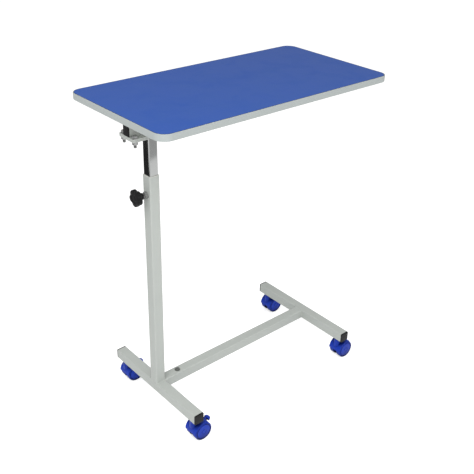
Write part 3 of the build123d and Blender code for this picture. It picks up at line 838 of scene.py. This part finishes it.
# %% The band, from seam to seam
BAND_T = 2 * MM
BOARD_CORNER = 32 * MM
SEAM_Y, SEAM_GAP = 35 * MM, 0.25 * MM
middle = square_ring(board_size.x - BAND_T, board_size.y - BAND_T, BOARD_CORNER - BAND_T / 2,
                     board_mid.z, steps=16)
# The ring runs counter-clockwise, so on the low-x side it runs from high y to low y.
left_x = -(board_size.x - BAND_T) / 2
start = next(i for i, (x, y, z) in enumerate(middle) if x < left_x + 1e-6 and y < 0)
route = middle[start:] + middle[:start]
route = [(x + board_mid.x, y + board_mid.y, z) for x, y, z in route]
route.insert(0, (board_mid.x + left_x, SEAM_Y - SEAM_GAP, board_mid.z))
route.append((board_mid.x + left_x, SEAM_Y, board_mid.z))
band = joined(grown(band_tree, {"Thickness": BAND_T, "Height": board_size.z, "Rim": 0.95 * MM,
                                "Material": edge_plastic}, path_mesh(route)))
band_piece = piece("edge_band_strip", band, "column", edge_plastic, "edge_band")
print("edge band size", [round(side, 4) for side in band_piece.dimensions], "against", list(board_size))

# %% [markdown]
# ## Clamping knob
# The knob is a moulded star grip with five lobes and a bright stud. A hand meets only rounded
# surfaces, so every ring of the loft is a lobed outline, and the rings shrink over the rims.
# Its outer face has a shallow dish with a raised cap over the moulded-in stud.

# %% Knob
_, knob_high, _, knob_size = box_of("clamp_knob")
knob_r = 25 * MM
LOBES, LOBE_DEPTH = 5, 2.6 * MM
NECK_R = 9.6 * MM
face_z = knob_size.x
back_z = face_z - 14 * MM


def lobed(reach, share=1.0):
    """The star outline. Pointed cosines make round lobes and tighter valleys."""
    def radius(angle):
        wave = math.cos(LOBES * (angle - math.pi))
        wave = wave * 0.82 + 0.18 * math.cos(2 * LOBES * (angle - math.pi)) * -1
        return (reach - LOBE_DEPTH) + LOBE_DEPTH * share * wave
    return radius


def knob_mesh():
    count = 120
    rings = [round_ring(NECK_R * 0.86, 0, count), round_ring(NECK_R, 0.8 * MM, count),
             round_ring(NECK_R * 0.96, back_z * 0.5, count),
             round_ring(NECK_R * 1.02, back_z - 2 * MM, count),
             round_ring(NECK_R * 1.16, back_z - 0.4 * MM, count)]
    steps = 8
    rim = 3.0 * MM
    rings.append(round_ring(lobed(knob_r - rim - 4 * MM, 0.75), back_z, count))
    for i in range(steps + 1):
        angle = math.radians(90 * i / steps)
        rings.append(round_ring(lobed(knob_r - rim * (1 - math.sin(angle))),
                                back_z + rim * (1 - math.cos(angle)), count))
    for i in range(steps + 1):
        angle = math.radians(90 * i / steps)
        rings.append(round_ring(lobed(knob_r - rim * (1 - math.cos(angle))),
                                face_z - 0.8 * MM - rim * (1 - math.sin(angle)), count))
    rings.append(round_ring(lobed(knob_r - rim - 3.5 * MM, 0.7), face_z - 0.2 * MM, count))
    for radius, drop in ((12.6, 0), (11.6, 0.3), (11.0, 1.2), (8.2, 1.3), (7.6, 0.8), (4.0, 0.5),
                         (1.0, 0.42)):
        rings.append(round_ring(radius * MM, face_z - drop * MM, count))
    return loft(rings)


knob_origin = (knob_high.x, post_mid.y, (box_of("clamp_screw")[2]).z)
piece("clamp_knob_grip", joined(laid(knob_mesh(), knob_origin, "-X")), "clamp_knob", black_plastic,
      "clamp_knob")

# %% The clamping screw and the weld nut on the post
_, stud_high, stud_mid, stud_size = box_of("clamp_screw")
stud = threaded_rod(stud_size.y / 2, stud_size.x, 1.5 * MM)
piece("clamp_stud", joined(laid(stud, (stud_high.x, 0, stud_mid.z), "-X")), "clamp_screw", zinc,
      "clamp_screw")
_, nut_high, nut_mid, nut_size = box_of("clamp_weld_nut")
weld_nut = hex_nut(17 * MM, nut_size.x, 5 * MM)
nut_ring = [(nut_high.x, 8.6 * MM * math.cos(a), nut_mid.z + 8.6 * MM * math.sin(a))
            for a in (math.tau * i / 24 for i in range(25))]
# The nut's darker coat is painted shade.
piece("weld_nut", joined(laid(weld_nut, (nut_high.x, 0, nut_mid.z), "-X"), weld(nut_ring, 31, 1.2 * MM)),
      "base", shaded_nut_coat, "clamp_weld_nut")

# %% [markdown]
# ## Casters
# Each caster has two nylon wheels on one axle, with a hood between and over them. A wheel is a
# lathe job: one section turned round the axle, with a thin cap over the axle's end. The outer
# face is nearly flat with a groove inside the tread, and the inner face is hollow with ribs, as
# it comes from the mould.

# %% The wheel's section
WHEEL_INNER, WHEEL_OUTER = 6.5 * MM, 24.75 * MM
BORE_R = 3.05 * MM


def arc(centre, radius, start, stop, steps=6):
    """Points of an arc in the section, as (radius from the axle, distance along it)."""
    return [(centre[0] + radius * math.cos(math.radians(start + (stop - start) * i / steps)),
             centre[1] + radius * math.sin(math.radians(start + (stop - start) * i / steps)))
            for i in range(steps + 1)]


def wheel_mesh(wheel_r):
    """One turned section, in millimetres, from the blind end of the bore round to the hub cap."""
    r, inner, outer, bore = (side / MM for side in (wheel_r, WHEEL_INNER, WHEEL_OUTER, BORE_R))
    web, edge, cap_floor = inner + 6, 4.0, outer - 0.9
    section = [(0.3, cap_floor), (bore, cap_floor), (bore, inner), (7.6, inner), (8, inner + 0.4),
               (8, web), (r - 6, web), (r - 5, inner + 0.4)]
    section += arc((r - 1.5, inner + 1.5), 1.5, 270, 360)
    section += arc((r - edge, outer - 0.5 - edge), edge, 0, 78, 8)
    section += [(r - 3.9, outer - 0.7), (r - 4.2, outer - 3.2), (r - 5.9, outer - 3.2),
                (r - 6.3, outer - 0.9), (14, outer - 0.35), (9.2, outer - 0.2), (8.6, outer - 0.7),
                (7.6, outer - 0.7), (7.0, outer - 0.1), (3.0, outer - 0.02), (0.3, outer)]
    return loft([round_ring(radius * MM, z * MM, 96) for radius, z in section])


def wheel_ribs(wheel_r, count=6):
    """Flat ribs in the hollow inner face, from the hub to the rim."""
    ribs = []
    for i in range(count):
        rib = flat_plate(wheel_r - 14.4 * MM, 1.6 * MM, 5.2 * MM, 0.7 * MM, 0.2 * MM)
        middle = (8 * MM + wheel_r - 6 * MM) / 2
        rib.transform(Matrix.Rotation(math.tau * i / count, 4, "Z")
                      @ Matrix.Translation((middle, 0, WHEEL_INNER + 0.9 * MM)))
        ribs.append(rib)
    return ribs


# %% Two wheels on every caster
CASTERS = ("post_front", "post_back", "far_front", "far_back")
for name in CASTERS:
    for side, axis in (("front", "-Y"), ("back", "Y")):
        node = f"caster_{name}_wheel_{side}"
        low, high, mid, size = box_of(node)
        axle_mid_y = box_of(f"caster_{name}_axle")[2].y
        shape = joined(wheel_mesh(size.z / 2), *wheel_ribs(size.z / 2))
        piece(node + "_tyre", laid(shape, (mid.x, axle_mid_y, mid.z), axis), node, caster_nylon, node)
print("casters:", len(CASTERS))

# %% [markdown]
# ## The nodes that stay as they are
# A carried-over CAD node keeps its shape and gets a better finish. Its mesh is loose triangles,
# so a Weld modifier joins them for smooth shading and an Edge Split keeps the real edges sharp.

# %% Finish the nodes that stay
KEPT = {
    "base": {"centre_bar_spigot": zinc, "centre_bar_nut": zinc, "post_bush": natural_nylon,
             "caster_stems": zinc, "caster_stem_nuts": zinc},
    "column": {"column_glide": natural_nylon, "board_core": chipboard, "backing_sheet": backing,
               "top_laminate": laminate},
}
for name in CASTERS:
    KEPT[f"caster_{name}"] = {f"caster_{name}_hood": caster_nylon, f"caster_{name}_axle": axle_steel}
for name in CASTERS[:2]:
    KEPT[f"caster_{name}"][f"caster_{name}_brake_pin"] = axle_steel
    KEPT[f"caster_{name}_brake_pedal"] = {f"caster_{name}_brake_pedal": caster_nylon}
for body, finishes in KEPT.items():
    for node, material in finishes.items():
        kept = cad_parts[node]
        kept.data.materials.clear()
        kept.data.materials.append(material)
        kept.data.polygons.foreach_set("use_smooth", [True] * len(kept.data.polygons))
        closed = kept.modifiers.new("join triangles", "WELD")
        closed.merge_threshold = 1e-5
        crisp = kept.modifiers.new("keep edges", "EDGE_SPLIT")
        crisp.split_angle = math.radians(32)
print("kept CAD nodes:", sum(len(finishes) for finishes in KEPT.values()))

# %% [markdown]
# ## Floor and light
# The table stands on a pale floor under a soft key light, in an even white surround that is dimmer
# to reflections, so paint and plastic keep their colour. Chrome shows what is round it, so two
# cards that only reflections can see give the column its dark side and its grey side, as black
# flags do in a studio.

# %% Floor
FLOOR_GLOW = 0.5
SURROUND, SURROUND_REFLECTED = 0.62, 0.35


def stage_plane(name, size, location, shade):
    mesh = bpy.data.meshes.new(name)
    half = [side / 2 for side in size]
    mesh.from_pydata([(-half[0], -half[1], 0), (half[0], -half[1], 0), (half[0], half[1], 0),
                      (-half[0], half[1], 0)], [], [(0, 1, 2, 3)])
    made = bpy.data.objects.new(name, mesh)
    scene.collection.objects.link(made)
    made.location = location
    material = bpy.data.materials.new(name)
    material.use_nodes = True
    shader = material.node_tree.nodes["Principled BSDF"]
    shader.inputs["Base Color"].default_value = (shade, shade, shade, 1.0)
    shader.inputs["Roughness"].default_value = 0.9
    shader.inputs["Specular IOR Level"].default_value = 0.1
    mesh.materials.append(material)
    return made, material.node_tree, shader


# The camera sees the floor brighter than the table does, so it stays white without lighting
# the underside.
_, floor_tree, floor_shader = stage_plane("floor", (60.0, 60.0), (0, 0, 0), 0.86)
ray = add_node(floor_tree, "ShaderNodeLightPath")
glow = math_node(floor_tree, "MULTIPLY", ray.outputs["Is Camera Ray"], FLOOR_GLOW)
floor_shader.inputs["Emission Color"].default_value = (1.0, 1.0, 1.0, 1.0)
floor_tree.links.new(glow, floor_shader.inputs["Emission Strength"])

# %% Cards for the chrome
for name, size, location, shade in (("dark_card", (1.2, 3.4), (-1.5, 0.25, 0.004), 0.03),
                                    ("grey_card", (2.6, 1.0), (0.95, -2.16, 0.004), 0.43)):
    card = stage_plane(name, size, location, shade)[0]
    card.visible_camera = False
    card.visible_diffuse = False
    card.visible_shadow = False

# %% The surround: dimmer in reflections than as light
world = bpy.data.worlds.new("surround")
world.use_nodes = True
surround = world.node_tree
backdrop = surround.nodes["Background"]
backdrop.inputs["Color"].default_value = (1.0, 1.0, 1.0, 1.0)
ray = add_node(surround, "ShaderNodeLightPath")
level = add_node(surround, "ShaderNodeMix", {
    "Factor": ray.outputs["Is Glossy Ray"], "A": SURROUND, "B": SURROUND_REFLECTED}, data_type="FLOAT")
seen = math_node(surround, "MAXIMUM", level.outputs["Result"], ray.outputs["Is Camera Ray"])
surround.links.new(seen, backdrop.inputs["Strength"])
scene.world = world


# %% Lights
def soft_light(name, location, target, size, power):
    lamp = bpy.data.lights.new(name, "AREA")
    lamp.shape = "RECTANGLE"
    lamp.size, lamp.size_y = size
    lamp.energy = power
    made = bpy.data.objects.new(name, lamp)
    scene.collection.objects.link(made)
    made.location = location
    made.rotation_euler = (Vector(target) - Vector(location)).to_track_quat("-Z", "Y").to_euler()
    made.visible_glossy = False
    return made


soft_light("key", (-1.7, -1.2, 2.7), (0, 0, 0.6), (1.8, 1.8), 68)
soft_light("front_fill", (0.8, -3.6, 2.0), (0, 0, 0.4), (2.6, 1.8), 30)
